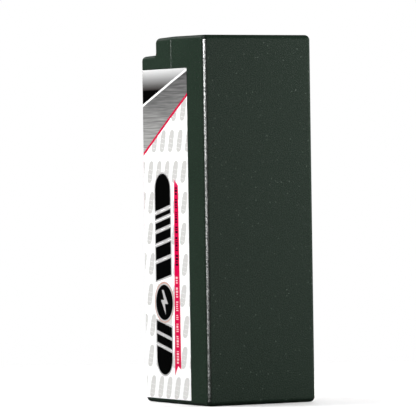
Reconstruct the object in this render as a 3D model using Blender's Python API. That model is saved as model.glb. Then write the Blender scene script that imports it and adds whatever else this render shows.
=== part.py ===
"""Hard-case lithium polymer pack, four cells in series, with its power sockets and balance header in a stepped end.

The pack stands on its plain end: +Z runs along its length to the stepped connector end, -Y is the plain belly and
+Y is the labelled top. The origin is the centre of the end it stands on. Dimensions are in millimetres until a mesh
is made, and MM turns them into metres.
"""

import math

import bmesh
import bpy
from mathutils import Vector

MM = 0.001

# The case, outside
LENGTH = 138.0
WIDTH = 47.0
DEPTH = 49.0
EDGE_RADIUS = 1.8
EDGE_STEPS = 4
STEP_DROP = 6.3  # how far the connector ledge lies below the end of the case
STEP_DEPTH = 11.25  # how far the ledge reaches in from the top face
STEP_CORNER = 0.45  # the ledge's inner corner, as a share of EDGE_RADIUS

# The case, inside, and the joint between its two shells
WALL = 1.8
CAVITY_RADIUS = 0.8
GAP = 0.3  # air between pieces that meet
TONGUE_THICK = 0.6
TONGUE_HIGH = 1.5
CUT_PAST = 5.0  # how far the cutting blocks run past the case

# The label, which lies in a shallow recess and runs from one side over the top to the other
LABEL_THICK = 0.2
LABEL_SUNK = 0.5
LABEL_MARGIN = 0.15
LABEL_LOW_Z = 1.8
LABEL_HIGH_Z = LENGTH - 12.1
LABEL_FROM_BELLY = 12.9

# The cells
CELLS = 4
CELL_THICK = 9.9
CELL_WIDE = 41.4
CELL_LOW_Z = 3.6
CELL_BODY_LONG = 108.0
SHOULDER_LONG = 2.4
TERRACE_LONG = 4.0
TERRACE_THICK = 0.8
CELL_RADIUS = 0.9
SHEET_THICK = 0.3
CELL_PITCH = CELL_THICK + SHEET_THICK + 2 * GAP
FIRST_CELL_Y = -DEPTH / 2 + WALL + 2 * GAP + 1.1 + CELL_THICK / 2

# The tab board and what is soldered to it
BOARD_LOW_Z = 122.7
BOARD_THICK = 1.6
BOARD_TOP_Z = BOARD_LOW_Z + BOARD_THICK
BOARD_WIDE = 41.4
BOARD_Y = (-21.0, 22.2)
TAB_X = 11.2
TAB_WIDE = 11.0
TAB_THICK = 0.4
TAB_FOLD = 4.2
FIRST_SLOT_Y = -16.6
SLOT_PITCH = 8.2
SLOT_CLEAR = 0.4
BAR_THICK = 0.8
BAR_RING = 4.0
BAR_Z = BOARD_TOP_Z + 2 * GAP + TAB_THICK
CHANNEL_WIDE = 6.0

# The connectors on the ledge
LEDGE_Z = LENGTH - STEP_DROP
PORT_Y = DEPTH / 2 - STEP_DEPTH / 2 - 0.5
SOCKET_X = 14.8
SOCKET_RADIUS = 3.0
SOCKET_BORE = 2.5
SOCKET_LOW_Z = 119.0
SOCKET_FLOOR = 2.0
COLLAR_RADIUS = 3.8
FLANGE_RADIUS = 4.5
FLANGE_THICK = 0.8
COLLAR_TOP_Z = LEDGE_Z + GAP + FLANGE_THICK
HEADER_SIZE = (14.9, 5.75, 7.0)
HEADER_WALL = 0.75
HEADER_FLOOR = 1.4
HEADER_KEY_X = 4.2
HEADER_KEY_WIDE = 1.6
PIN_PITCH = 2.5
PIN_WIDE = 0.64
PIN_COUNT = CELLS + 1
PIN_BELOW_BOARD = 0.9
PIN_HIGH_Z = 129.6

# Padding and straps
PAD_Z = (20.0, 96.0)
PAD_WIDE = 38.0
STRAP_WIDE = 10.0
STRAP_LOW_Z = (7.0, 99.0)
STRAP_THICK = 0.3

ROUND_STEPS = 32


def material(name, colour, roughness, metallic=0.0):
    made = bpy.data.materials.new(name)
    made.use_nodes = True
    shader = made.node_tree.nodes["Principled BSDF"]
    shader.inputs["Base Color"].default_value = (*colour, 1.0)
    shader.inputs["Roughness"].default_value = roughness
    shader.inputs["Metallic"].default_value = metallic
    made.diffuse_color = (*colour, 1.0)
    return made


def empty(name):
    made = bpy.data.objects.new(name, None)
    bpy.context.collection.objects.link(made)
    return made


def thing(name, shape, look=None, at=(0, 0, 0), parent=None):
    """An object of the bmesh shape, whose millimetres become metres, placed at a point in millimetres."""
    bmesh.ops.recalc_face_normals(shape, faces=shape.faces)
    bmesh.ops.scale(shape, vec=(MM, MM, MM), verts=shape.verts)
    mesh = bpy.data.meshes.new(name)
    shape.to_mesh(mesh)
    shape.free()
    made = bpy.data.objects.new(name, mesh)
    made.location = Vector(at) * MM
    bpy.context.collection.objects.link(made)
    made.parent = parent
    if look is not None:
        mesh.materials.append(look)
    return made


def helper(name, shape, at=(0, 0, 0)):
    """A cutter or a block to join, which isn't part of the pack."""
    made = thing(name, shape, at=at)
    made.hide_render = True
    made.display_type = "WIRE"
    return made


def combine(target, other, operation):
    step = target.modifiers.new(operation.title(), "BOOLEAN")
    step.operation = operation
    step.object = other
    return step


def round_edges(target, radius, steps, by_weight=False):
    step = target.modifiers.new("Round edges", "BEVEL")
    step.width = radius * MM
    step.segments = steps
    step.limit_method = "WEIGHT" if by_weight else "ANGLE"
    step.angle_limit = math.radians(30)
    return step


def smooth(target, degrees=35):
    target.data.shade_smooth()
    target.data.set_sharp_from_angle(angle=math.radians(degrees))


# A point of an outline, at a height along its axis, in the order X, Y, Z
PLACE = {
    "X": lambda p, h: (h, p[0], p[1]),
    "Y": lambda p, h: (p[0], h, p[1]),
    "Z": lambda p, h: (p[0], p[1], h),
}


def prism(outline, axis, low, high, shape=None):
    """The outline, as points across the axis, extruded from low to high along it."""
    shape = shape or bmesh.new()
    corners = [shape.verts.new(PLACE[axis](p, low)) for p in outline]
    base = shape.faces.new(corners)
    grown = bmesh.ops.extrude_face_region(shape, geom=[base])
    rise = Vector(PLACE[axis]((0, 0), high - low))
    bmesh.ops.translate(shape, vec=rise, verts=[v for v in grown["geom"] if isinstance(v, bmesh.types.BMVert)])
    return shape


def block(low, high, shape=None):
    """A box between two corners."""
    outline = [(low[0], low[1]), (high[0], low[1]), (high[0], high[1]), (low[0], high[1])]
    return prism(outline, "Z", low[2], high[2], shape)


def frame_band(outer, inner, axis, low, high):
    """A closed band between two outlines that have the same number of points."""
    shape = bmesh.new()
    rings = [
        [shape.verts.new(PLACE[axis](p, h)) for p in outline]
        for outline, h in ((outer, low), (outer, high), (inner, high), (inner, low))
    ]
    count = len(outer)
    for near, far in zip(rings, rings[1:] + rings[:1]):
        for i in range(count):
            j = (i + 1) % count
            shape.faces.new((near[i], near[j], far[j], far[i]))
    return shape


def turned(profile, steps=ROUND_STEPS):
    """A (radius, height) profile turned about Z: closed on itself, unless it starts and ends on the axis."""
    shape = bmesh.new()
    points = [shape.verts.new((radius, 0, height)) for radius, height in profile]
    following = points[1:] if profile[0][0] == profile[-1][0] == 0 else points[1:] + points[:1]
    edges = [shape.edges.new((a, b)) for a, b in zip(points, following)]
    bmesh.ops.spin(
        shape, geom=points + edges, cent=(0, 0, 0), axis=(0, 0, 1), angle=2 * math.pi, steps=steps, use_merge=True
    )
    bmesh.ops.remove_doubles(shape, verts=shape.verts, dist=1e-4)
    bmesh.ops.dissolve_degenerate(shape, edges=shape.edges, dist=1e-4)
    return shape


def arc(centre, radius, start, end, steps):
    """Points along an arc between two angles in degrees, both ends included."""
    angles = [math.radians(start + (end - start) * i / steps) for i in range(steps + 1)]
    return [(centre[0] + radius * math.cos(a), centre[1] + radius * math.sin(a)) for a in angles]


def rounded_rectangle(low, high, radius, steps=EDGE_STEPS):
    corners = (
        ((high[0] - radius, high[1] - radius), 0),
        ((low[0] + radius, high[1] - radius), 90),
        ((low[0] + radius, low[1] + radius), 180),
        ((high[0] - radius, low[1] + radius), 270),
    )
    return [point for centre, start in corners for point in arc(centre, radius, start, start + 90, steps)]


def circle(centre, radius, steps=ROUND_STEPS):
    return arc(centre, radius, 0, 360 * (steps - 1) / steps, steps - 1)


def case_side(inset=0.0):
    """The case seen from its side, as (Y, Z) points, with its walls moved in by inset."""
    belly, top = -DEPTH / 2 + inset, DEPTH / 2 - inset
    step_y = DEPTH / 2 - STEP_DEPTH - inset
    return [
        (belly, inset),
        (top, inset),
        (top, LEDGE_Z - inset),
        (step_y, LEDGE_Z - inset),
        (step_y, LENGTH - inset),
        (belly, LENGTH - inset),
    ]


def case_block():
    """The outside of the whole case, with the size of each edge's rounding stored as its bevel weight."""
    shape = prism(case_side(), "X", -WIDTH / 2, WIDTH / 2)
    weight = shape.edges.layers.float.new("bevel_weight_edge")
    inner_corner = Vector((DEPTH / 2 - STEP_DEPTH, LEDGE_Z))
    for edge in shape.edges:
        ends = [Vector(v.co.yz) for v in edge.verts]
        at_corner = all((end - inner_corner).length < GAP for end in ends)
        edge[weight] = STEP_CORNER if at_corner else 1.0
    return shape


def half_space(side):
    """A block that covers the case on one side of the seam: -1 for the belly, 1 for the top."""
    far = side * (DEPTH / 2 + CUT_PAST)
    near = side * GAP / 2
    reach = WIDTH / 2 + CUT_PAST
    low = (-reach, min(near, far), -CUT_PAST)
    high = (reach, max(near, far), LENGTH + CUT_PAST)
    return block(low, high)


def seam_block(inset, low_y, high_y):
    """A block that follows the case's outline at the seam, moved in by inset."""
    low = (-WIDTH / 2 + inset, inset)
    high = (WIDTH / 2 - inset, LENGTH - inset)
    return prism(rounded_rectangle(low, high, EDGE_RADIUS - inset / 2), "Y", low_y, high_y)


def label_path(inset, low_y):
    """The case's outline from one side over the top to the other, as (X, Y) points, moved in by inset."""
    side, top = WIDTH / 2 - inset, DEPTH / 2
    radius = EDGE_RADIUS - inset
    turn_x, turn_y = WIDTH / 2 - EDGE_RADIUS, top - EDGE_RADIUS
    left = arc((-turn_x, turn_y), radius, 180, 90, EDGE_STEPS)
    right = arc((turn_x, turn_y), radius, 90, 0, EDGE_STEPS)
    return [(-side, low_y), *left, *right, (side, low_y)]


def label_recess():
    low_y = -DEPTH / 2 + LABEL_FROM_BELLY - LABEL_MARGIN
    reach = WIDTH / 2 + CUT_PAST
    over = DEPTH / 2 + CUT_PAST
    around = [(reach, low_y), (reach, over), (-reach, over), (-reach, low_y)]
    outline = label_path(LABEL_SUNK, low_y) + around
    return prism(outline, "Z", LABEL_LOW_Z - LABEL_MARGIN, LABEL_HIGH_Z + LABEL_MARGIN)


def connector_openings():
    """The holes through the ledge for the two collars and the balance header."""
    shape = bmesh.new()
    low, high = LEDGE_Z - 2 * WALL, LEDGE_Z + CUT_PAST
    for side in (-1, 1):
        prism(circle((side * SOCKET_X, PORT_Y), COLLAR_RADIUS + GAP), "Z", low, high, shape)
    half_x, half_y = HEADER_SIZE[0] / 2 + GAP, HEADER_SIZE[1] / 2 + GAP
    block((-half_x, PORT_Y - half_y, low), (half_x, PORT_Y + half_y, high), shape)
    return shape


def make_shells(looks, pack, belly):
    cavity = helper("cavity_cutter", prism(case_side(WALL), "X", -WIDTH / 2 + WALL, WIDTH / 2 - WALL))
    round_edges(cavity, CAVITY_RADIUS, 2)
    recess = helper("label_recess_cutter", label_recess())
    tongue_inset = WALL - TONGUE_THICK
    tongue = helper("tongue_block", seam_block(tongue_inset, -CUT_PAST, TONGUE_HIGH))
    groove = helper("groove_cutter", seam_block(tongue_inset - GAP, -CUT_PAST, TONGUE_HIGH + GAP))

    lower = thing("belly_shell", case_block(), looks["case"], parent=belly)
    round_edges(lower, EDGE_RADIUS, EDGE_STEPS, by_weight=True)
    combine(lower, helper("belly_half", half_space(-1)), "INTERSECT")
    combine(lower, tongue, "UNION")
    combine(lower, cavity, "DIFFERENCE")
    combine(lower, recess, "DIFFERENCE")

    upper = thing("top_shell", case_block(), looks["case"], parent=pack)
    round_edges(upper, EDGE_RADIUS, EDGE_STEPS, by_weight=True)
    combine(upper, helper("top_half", half_space(1)), "INTERSECT")
    combine(upper, groove, "DIFFERENCE")
    combine(upper, cavity, "DIFFERENCE")
    combine(upper, recess, "DIFFERENCE")
    combine(upper, helper("connector_cutter", connector_openings()), "DIFFERENCE")
    for shell in (lower, upper):
        smooth(shell)


def make_labels(looks, pack, belly):
    """The label, slit along the seam: a wrap on the top shell and a strip on each side of the belly shell."""
    seam = GAP / 2
    outer = label_path(0.0, seam)
    inner = label_path(LABEL_THICK, seam)
    wrap = prism(outer + inner[::-1], "Z", LABEL_LOW_Z, LABEL_HIGH_Z)
    smooth(thing("label_wrap", wrap, looks["label"], parent=pack))
    low_y = -DEPTH / 2 + LABEL_FROM_BELLY
    for side, name in ((-1, "label_strip_left"), (1, "label_strip_right")):
        x = sorted((side * WIDTH / 2, side * (WIDTH / 2 - LABEL_THICK)))
        strip = block((x[0], low_y, LABEL_LOW_Z), (x[1], -seam, LABEL_HIGH_Z))
        thing(name, strip, looks["label"], parent=belly)


def cell_y(index):
    return FIRST_CELL_Y + index * CELL_PITCH


def slot_y(index):
    return FIRST_SLOT_Y + index * SLOT_PITCH


def make_cells(looks, pack):
    """Pouch cells, each a body that narrows to the flat seal its tabs come out of, with adhesive sheets between."""
    half, seal = CELL_THICK / 2, TERRACE_THICK / 2
    shoulder = CELL_BODY_LONG - SHOULDER_LONG
    end = CELL_BODY_LONG + TERRACE_LONG
    side = [
        (-half, 0),
        (half, 0),
        (half, shoulder),
        (seal, CELL_BODY_LONG),
        (seal, end),
        (-seal, end),
        (-seal, CELL_BODY_LONG),
        (-half, shoulder),
    ]
    for index in range(CELLS):
        at = (0, cell_y(index), CELL_LOW_Z)
        shape = prism(side, "X", -CELL_WIDE / 2, CELL_WIDE / 2)
        cell = thing(f"cell_{index + 1}", shape, looks["pouch"], at, pack)
        corners = cell.modifiers.new("Round edges", "BEVEL")
        corners.width = seal * 0.8 * MM
        corners.segments = 1
        if index:
            middle = cell_y(index) - CELL_PITCH / 2
            half_wide = CELL_WIDE / 2 - 3.0
            low = (-half_wide, -SHEET_THICK / 2, 12.0)
            high = (half_wide, SHEET_THICK / 2, CELL_BODY_LONG - 8.0)
            sheet = block(low, high)
            thing(f"adhesive_sheet_{index}", sheet, looks["adhesive"], (0, middle, CELL_LOW_Z), pack)


def strip_outline(path, thick):
    """The outline of a strip of even thickness that follows a path of (Y, Z) points."""
    left, right = [], []
    for i, here in enumerate(path):
        here = Vector(here)
        before = (here - Vector(path[i - 1])).normalized() if i else None
        after = (Vector(path[i + 1]) - here).normalized() if i + 1 < len(path) else None
        along = ((before or after) + (after or before)).normalized()
        across = Vector((-along.y, along.x))
        first = before or after
        reach = thick / 2 / max(0.3, across.dot(Vector((-first.y, first.x))))
        left.append(tuple(here + across * reach))
        right.append(tuple(here - across * reach))
    return left + right[::-1]


def tab_path(index):
    """From the cell's seal through the board's slot and flat over the board, as (Y, Z) points."""
    start_z = CELL_LOW_Z + CELL_BODY_LONG + TERRACE_LONG + GAP
    fold_z = BOARD_TOP_Z + GAP + TAB_THICK / 2
    slot = slot_y(index)
    return [
        (cell_y(index), start_z),
        (cell_y(index), start_z + 0.7),
        (slot, BOARD_LOW_Z - 1.0),
        (slot, fold_z),
        (slot - TAB_FOLD, fold_z),
    ]


def positive_side(index):
    """The cells face alternate ways, so that each one's positive tab is beside the next one's negative tab."""
    return 1 if index % 2 == 0 else -1


def make_tabs(looks, pack):
    for index in range(CELLS):
        outline = strip_outline(tab_path(index), TAB_THICK)
        for pole, side in (("positive", positive_side(index)), ("negative", -positive_side(index))):
            shape = prism(outline, "X", -TAB_WIDE / 2, TAB_WIDE / 2)
            look = looks["aluminium" if pole == "positive" else "nickel"]
            thing(f"{pole}_tab_{index + 1}", shape, look, (side * TAB_X, 0, 0), pack)


def board_openings():
    shape = bmesh.new()
    low, high = BOARD_LOW_Z - 1.0, BOARD_TOP_Z + 1.0
    half_x, half_y = TAB_WIDE / 2 + SLOT_CLEAR, TAB_THICK / 2 + SLOT_CLEAR
    for index in range(CELLS):
        for x in (-TAB_X, TAB_X):
            y = slot_y(index)
            block((x - half_x, y - half_y, low), (x + half_x, y + half_y, high), shape)
    for x in (-SOCKET_X, SOCKET_X):
        prism(circle((x, PORT_Y), SOCKET_RADIUS + GAP), "Z", low, high, shape)
    for x in pin_places():
        prism(circle((x, PORT_Y), PIN_WIDE * 0.71 + GAP, 12), "Z", low, high, shape)
    return shape


def pin_places():
    return [(i - (PIN_COUNT - 1) / 2) * PIN_PITCH for i in range(PIN_COUNT)]


def make_board(looks, pack):
    low, high = (-BOARD_WIDE / 2, BOARD_Y[0]), (BOARD_WIDE / 2, BOARD_Y[1])
    outline = rounded_rectangle(low, high, 1.2, 2)
    board = thing("tab_board", prism(outline, "Z", BOARD_LOW_Z, BOARD_TOP_Z), looks["board"], parent=pack)
    combine(board, helper("board_cutter", board_openings()), "DIFFERENCE")


def make_links(looks, pack):
    """Copper bars that join each cell's positive tab to the next one's negative tab."""
    for index in range(CELLS - 1):
        x = positive_side(index) * TAB_X
        low = (x - TAB_WIDE / 2 + 0.5, slot_y(index) - TAB_FOLD + 0.3, BAR_Z)
        high = (x + TAB_WIDE / 2 - 0.5, slot_y(index + 1) - 0.6, BAR_Z + BAR_THICK)
        thing(f"series_link_{index + 1}", block(low, high), looks["copper"], parent=pack)


def make_bus_bars(looks, pack):
    """Copper bars from the first and last tabs to the sockets, each ending in a ring round its socket."""
    ring = BAR_RING
    start = slot_y(CELLS - 1)
    positive = [
        (-SOCKET_X + ring, start - TAB_FOLD + 0.6),
        *arc((-SOCKET_X, PORT_Y), ring, 0, 180, 12),
        (-SOCKET_X - ring, start - TAB_FOLD + 0.6),
    ]
    first = slot_y(0)
    half = CHANNEL_WIDE / 2
    cross_low, cross_high = start + 1.0, PORT_Y - HEADER_SIZE[1] / 2 - 3 * GAP
    negative = [
        (-TAB_X - TAB_WIDE / 2 + 0.5, first - TAB_FOLD + 0.4),
        (half, first - TAB_FOLD + 0.4),
        (half, cross_low),
        (SOCKET_X + ring, cross_low),
        *arc((SOCKET_X, PORT_Y), ring, 0, 180, 12),
        (SOCKET_X - ring, cross_high),
        (-half, cross_high),
        (-half, first - 0.6),
        (-TAB_X - TAB_WIDE / 2 + 0.5, first - 0.6),
    ]
    for name, outline, x in (("positive_bus_bar", positive, -SOCKET_X), ("negative_bus_bar", negative, SOCKET_X)):
        bar = thing(name, prism(outline, "Z", BAR_Z, BAR_Z + BAR_THICK), looks["copper"], parent=pack)
        hole = prism(circle((x, PORT_Y), SOCKET_RADIUS + GAP), "Z", BAR_Z - 1.0, BAR_Z + 2.0)
        combine(bar, helper(name + "_hole", hole), "DIFFERENCE")


def make_sockets(looks, pack):
    tube = [
        (0, SOCKET_LOW_Z),
        (SOCKET_RADIUS - 0.4, SOCKET_LOW_Z),
        (SOCKET_RADIUS, SOCKET_LOW_Z + 0.4),
        (SOCKET_RADIUS, COLLAR_TOP_Z),
        (SOCKET_BORE + 0.2, COLLAR_TOP_Z),
        (SOCKET_BORE, COLLAR_TOP_Z - 0.3),
        (SOCKET_BORE, SOCKET_LOW_Z + SOCKET_FLOOR),
        (0, SOCKET_LOW_Z + SOCKET_FLOOR),
    ]
    inside = SOCKET_RADIUS + GAP
    collar = [
        (inside, LEDGE_Z - WALL - 1.0),
        (COLLAR_RADIUS, LEDGE_Z - WALL - 1.0),
        (COLLAR_RADIUS, LEDGE_Z + GAP),
        (FLANGE_RADIUS, LEDGE_Z + GAP),
        (FLANGE_RADIUS, COLLAR_TOP_Z - 0.3),
        (FLANGE_RADIUS - 0.3, COLLAR_TOP_Z),
        (inside, COLLAR_TOP_Z),
    ]
    for pole, side, colour in (("positive", -1, "red"), ("negative", 1, "black")):
        at = (side * SOCKET_X, PORT_Y, 0)
        smooth(thing(f"{pole}_socket", turned(tube), looks["gold"], at, pack))
        smooth(thing(f"{pole}_collar", turned(collar), looks[colour], at, pack))


def make_header(looks, pack):
    """The balance header: an open shroud with two keyways in its outer wall, round a row of square pins."""
    half_x, half_y = HEADER_SIZE[0] / 2, HEADER_SIZE[1] / 2
    low_z = BOARD_TOP_Z + GAP
    high_z = low_z + HEADER_SIZE[2]
    floor_z = low_z + HEADER_FLOOR
    at = (0, PORT_Y, 0)
    shroud = thing("balance_header", block((-half_x, -half_y, low_z), (half_x, half_y, high_z)), looks["nylon"], at, pack)
    wall = HEADER_WALL
    over = high_z + 1.0
    hollow = block((-half_x + wall, -half_y + wall, floor_z), (half_x - wall, half_y - wall, over))
    combine(shroud, helper("header_hollow", hollow, at), "DIFFERENCE")
    cuts = bmesh.new()
    for side in (-1, 1):
        x = side * HEADER_KEY_X
        half = HEADER_KEY_WIDE / 2
        block((x - half, half_y - 2 * wall, floor_z + 1.0), (x + half, half_y + wall, over), cuts)
    hole = PIN_WIDE / 2 + GAP
    for x in pin_places():
        block((x - hole, -hole, low_z - 1.0), (x + hole, hole, floor_z + 0.5), cuts)
    combine(shroud, helper("header_cuts", cuts, at), "DIFFERENCE")
    half = PIN_WIDE / 2
    for number, x in enumerate(pin_places(), start=1):
        low = (-half, -half, BOARD_LOW_Z - PIN_BELOW_BOARD)
        pin = thing(f"balance_pin_{number}", block(low, (half, half, PIN_HIGH_Z)), looks["tin"], (x, PORT_Y, 0), pack)
        round_edges(pin, PIN_WIDE / 5, 1)


def make_padding(looks, pack):
    inner = DEPTH / 2 - WALL
    first, last = cell_y(0) - CELL_THICK / 2, cell_y(CELLS - 1) + CELL_THICK / 2
    half = PAD_WIDE / 2
    belly_pad = block((-half, -inner + GAP, PAD_Z[0]), (half, first - GAP, PAD_Z[1]))
    thing("belly_foam_pad", belly_pad, looks["foam"], parent=pack)
    top_pad = block((-half, last + GAP, PAD_Z[0]), (half, inner - GAP, PAD_Z[1]))
    thing("top_foam_pad", top_pad, looks["foam"], parent=pack)
    end_pad = block((-half, -half, WALL + GAP), (half, half, CELL_LOW_Z - GAP))
    thing("end_foam_pad", end_pad, looks["foam"], parent=pack)
    step_y = DEPTH / 2 - STEP_DEPTH - WALL
    high = LENGTH - WALL - GAP
    sheet = block((-half, -inner + 2.0, high - 0.5), (half, step_y - 2.0, high))
    thing("end_insulator", sheet, looks["fish_paper"], parent=pack)


def make_straps(looks, pack):
    first, last = cell_y(0) - CELL_THICK / 2, cell_y(CELLS - 1) + CELL_THICK / 2
    half = CELL_WIDE / 2

    def around(reach):
        return [
            (half + reach, first - reach),
            (half + reach, last + reach),
            (-half - reach, last + reach),
            (-half - reach, first - reach),
        ]

    for number, low in enumerate(STRAP_LOW_Z, start=1):
        band = frame_band(around(GAP + STRAP_THICK), around(GAP), "Z", low, low + STRAP_WIDE)
        thing(f"stack_strap_{number}", band, looks["polyimide"], parent=pack)


def make_looks():
    return {
        "case": material("case_plastic", (0.024, 0.034, 0.027), 0.5),
        "label": material("label_film", (0.92, 0.92, 0.91), 0.35),
        "pouch": material("pouch_foil", (0.62, 0.63, 0.65), 0.35, 0.9),
        "adhesive": material("adhesive_sheet", (0.80, 0.80, 0.74), 0.8),
        "aluminium": material("tab_aluminium", (0.76, 0.77, 0.78), 0.35, 1.0),
        "nickel": material("tab_nickel", (0.66, 0.62, 0.56), 0.35, 1.0),
        "board": material("board_laminate", (0.02, 0.16, 0.07), 0.4),
        "copper": material("bar_copper", (0.80, 0.42, 0.26), 0.35, 1.0),
        "gold": material("socket_gold", (0.92, 0.70, 0.30), 0.22, 1.0),
        "red": material("collar_red", (0.62, 0.02, 0.02), 0.4),
        "black": material("collar_black", (0.02, 0.02, 0.02), 0.4),
        "nylon": material("header_nylon", (0.86, 0.84, 0.77), 0.45),
        "tin": material("pin_tin", (0.78, 0.78, 0.76), 0.3, 1.0),
        "foam": material("foam", (0.05, 0.05, 0.055), 0.95),
        "fish_paper": material("fish_paper", (0.08, 0.22, 0.16), 0.85),
        "polyimide": material("polyimide_tape", (0.72, 0.33, 0.04), 0.25),
    }


def main():
    for obj in list(bpy.data.objects):
        bpy.data.objects.remove(obj)
    looks = make_looks()
    pack = empty("pack")
    belly = empty("belly_slide")
    belly.parent = pack
    make_shells(looks, pack, belly)
    make_labels(looks, pack, belly)
    make_cells(looks, pack)
    make_tabs(looks, pack)
    make_board(looks, pack)
    make_links(looks, pack)
    make_bus_bars(looks, pack)
    make_sockets(looks, pack)
    make_header(looks, pack)
    make_padding(looks, pack)
    make_straps(looks, pack)


main()
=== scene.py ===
"""The looks of a hard-case battery pack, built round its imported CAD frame.

Shapes are made in millimetres, and piece() turns them into metres. +Z runs up the pack to its stepped
connector end, -Y is the plain belly, +Y the labelled top, and the label wraps round both sides.
"""

import random
from math import cos, exp, pi, radians, sin, sqrt

import bmesh
import bpy
from mathutils import Matrix, Vector, geometry, noise


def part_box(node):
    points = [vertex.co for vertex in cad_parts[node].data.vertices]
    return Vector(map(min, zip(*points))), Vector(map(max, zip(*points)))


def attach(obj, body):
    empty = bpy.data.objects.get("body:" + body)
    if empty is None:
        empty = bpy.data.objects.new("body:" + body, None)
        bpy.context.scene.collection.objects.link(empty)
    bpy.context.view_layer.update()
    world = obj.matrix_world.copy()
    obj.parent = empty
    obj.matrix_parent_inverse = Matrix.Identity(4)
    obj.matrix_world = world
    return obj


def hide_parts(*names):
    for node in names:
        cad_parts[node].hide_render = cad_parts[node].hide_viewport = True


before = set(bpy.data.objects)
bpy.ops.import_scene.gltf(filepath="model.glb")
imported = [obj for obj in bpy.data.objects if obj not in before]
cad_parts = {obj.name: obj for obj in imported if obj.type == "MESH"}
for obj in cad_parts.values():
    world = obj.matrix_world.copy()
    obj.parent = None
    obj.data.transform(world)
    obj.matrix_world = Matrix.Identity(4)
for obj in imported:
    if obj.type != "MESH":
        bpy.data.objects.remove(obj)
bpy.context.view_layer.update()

MM = 0.001

# The case
LENGTH = 138.0
WIDTH = 47.0
DEPTH = 49.0
LEDGE_Z = 131.7
STEP_Y = 13.25
EDGE_RADIUS = 1.85
OUTLINE_RADIUS = 1.95
STEP_RADIUS = 0.8
ROUND_STEPS = 8
WALL = 1.8
GRAIN_TO = -24.15  # the belly's grain has faded out at this Y, part way round its edges
GRAIN_FADE = 0.27
SEAM = 0.04  # from the parting plane to each shell
SEAM_CHAMFER = 0.03
TONGUE_INSET = WALL - 0.6
SIDE_DRAFT = 0.0105
END_DRAFT_BELLY = 0.006
END_DRAFT_TOP = 0.024
END_DRAFT_FROM = 127.0

# The label
FILM = 0.12
FILM_PROUD = 0.03
RECESS = 0.15
RECESS_MARGIN = 0.16
LABEL_LOW = 1.7
LABEL_HIGH = 125.9
LABEL_EDGE_Y = -11.6
LABEL_CORNER = 0.35
SLIT = 0.015  # from the fold line over the seam to each part of the label
ARC_LONG = EDGE_RADIUS * pi / 2
FLAT_HALF = WIDTH / 2 - EDGE_RADIUS
SIDE_TOP_Y = DEPTH / 2 - EDGE_RADIUS
FOLD = FLAT_HALF + ARC_LONG + SIDE_TOP_Y  # along the label from the middle of the top to the seam
LABEL_REACH = FOLD - LABEL_EDGE_Y
LABEL_PIECES = (("label_wrap", "pack"), ("label_strip_left", "belly"), ("label_strip_right", "belly"))

# The label's artwork
FADE_LINE = (125.7, 0.369)  # the height at the label's edges, and the fall for each millimetre inwards
WHITE_LINE = (124.8, 0.369)
CRIMSON_LINE = (115.9, 0.6335)
CRIMSON_HALF = 0.61
MARK_STARTS = (5.0, 6.2, 4.4, 6.2, 4.6, 5.6, 4.5, 4.7, 0.9, 4.4)  # how far each row of marks is shifted
MARK_PITCH = 6.5
MARK_ROW_PITCH = 11.6
FIRST_MARK_Z = 6.0
MARK_LEAN = 0.25

# Connectors and inside
PORT_Y = 18.375
SOCKET_X = 14.8
SOCKET_RADIUS = 3.0
SOCKET_BORE = 2.5
COLLAR_RADIUS = 3.8
FLANGE_RADIUS = 4.5
COLLAR_TOP = 132.8
BOARD_TOP = 124.3


# ---- shapes


def arc(centre, radius, start, end, steps):
    angles = [radians(start + (end - start) * i / steps) for i in range(steps + 1)]
    return [(centre[0] + radius * cos(a), centre[1] + radius * sin(a)) for a in angles]


def circle(centre, radius, steps=48):
    return arc(centre, radius, 0, 360 * (steps - 1) / steps, steps - 1)


def rounded_rectangle(low, high, radius, steps=6):
    x0, y0, x1, y1 = low[0] + radius, low[1] + radius, high[0] - radius, high[1] - radius
    outline = []
    for quarter, centre in enumerate(((x1, y1), (x0, y1), (x0, y0), (x1, y0))):
        outline += arc(centre, radius, 90 * quarter, 90 * quarter + 90, steps)
    return outline


def join(shape, near, far):
    """Faces between two rings of vertices."""
    for i in range(len(near)):
        j = (i + 1) % len(near)
        shape.faces.new((near[i], near[j], far[j], far[i]))


def skin(shape, rings):
    """Faces between rings of points, capped at both ends."""
    rows = [[shape.verts.new(p) for p in ring] for ring in rings]
    for near, far in zip(rows, rows[1:]):
        join(shape, near, far)
    shape.faces.new(rows[0][::-1])
    shape.faces.new(rows[-1])


def prism(shape, outline, axis, low, high):
    at = "XYZ".index(axis)
    skin(shape, [[(*p[:at], h, *p[at:]) for p in outline] for h in (low, high)])
    return shape


def block(shape, low, high):
    outline = [(low[0], low[1]), (high[0], low[1]), (high[0], high[1]), (low[0], high[1])]
    return prism(shape, outline, "Z", low[2], high[2])


def end_turns(steps):
    """The (side, angle) of each ring of a form that is rounded at both ends, from end to end."""
    angles = [pi / 2 * i / steps for i in range(steps + 1)]
    return [(-1, angle) for angle in angles[::-1]] + [(1, angle) for angle in angles]


def soft_block(shape, low, high, radius, steps=3):
    """A box with every edge rounded."""
    x, y, z = ((low[i] + high[i]) / 2 for i in range(3))
    half_x, half_y, half_z = ((high[i] - low[i]) / 2 for i in range(3))
    rings = []
    for side, angle in end_turns(steps):
        inset = radius * (1 - cos(angle))
        height = z + side * (half_z - radius + radius * sin(angle))
        corner = max(radius * 1.05 - inset, radius * 0.05)
        wide, deep = half_x - inset, half_y - inset
        ring = rounded_rectangle((x - wide, y - deep), (x + wide, y + deep), corner, steps)
        rings.append([(*p, height) for p in ring])
    skin(shape, rings)
    return shape


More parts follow.
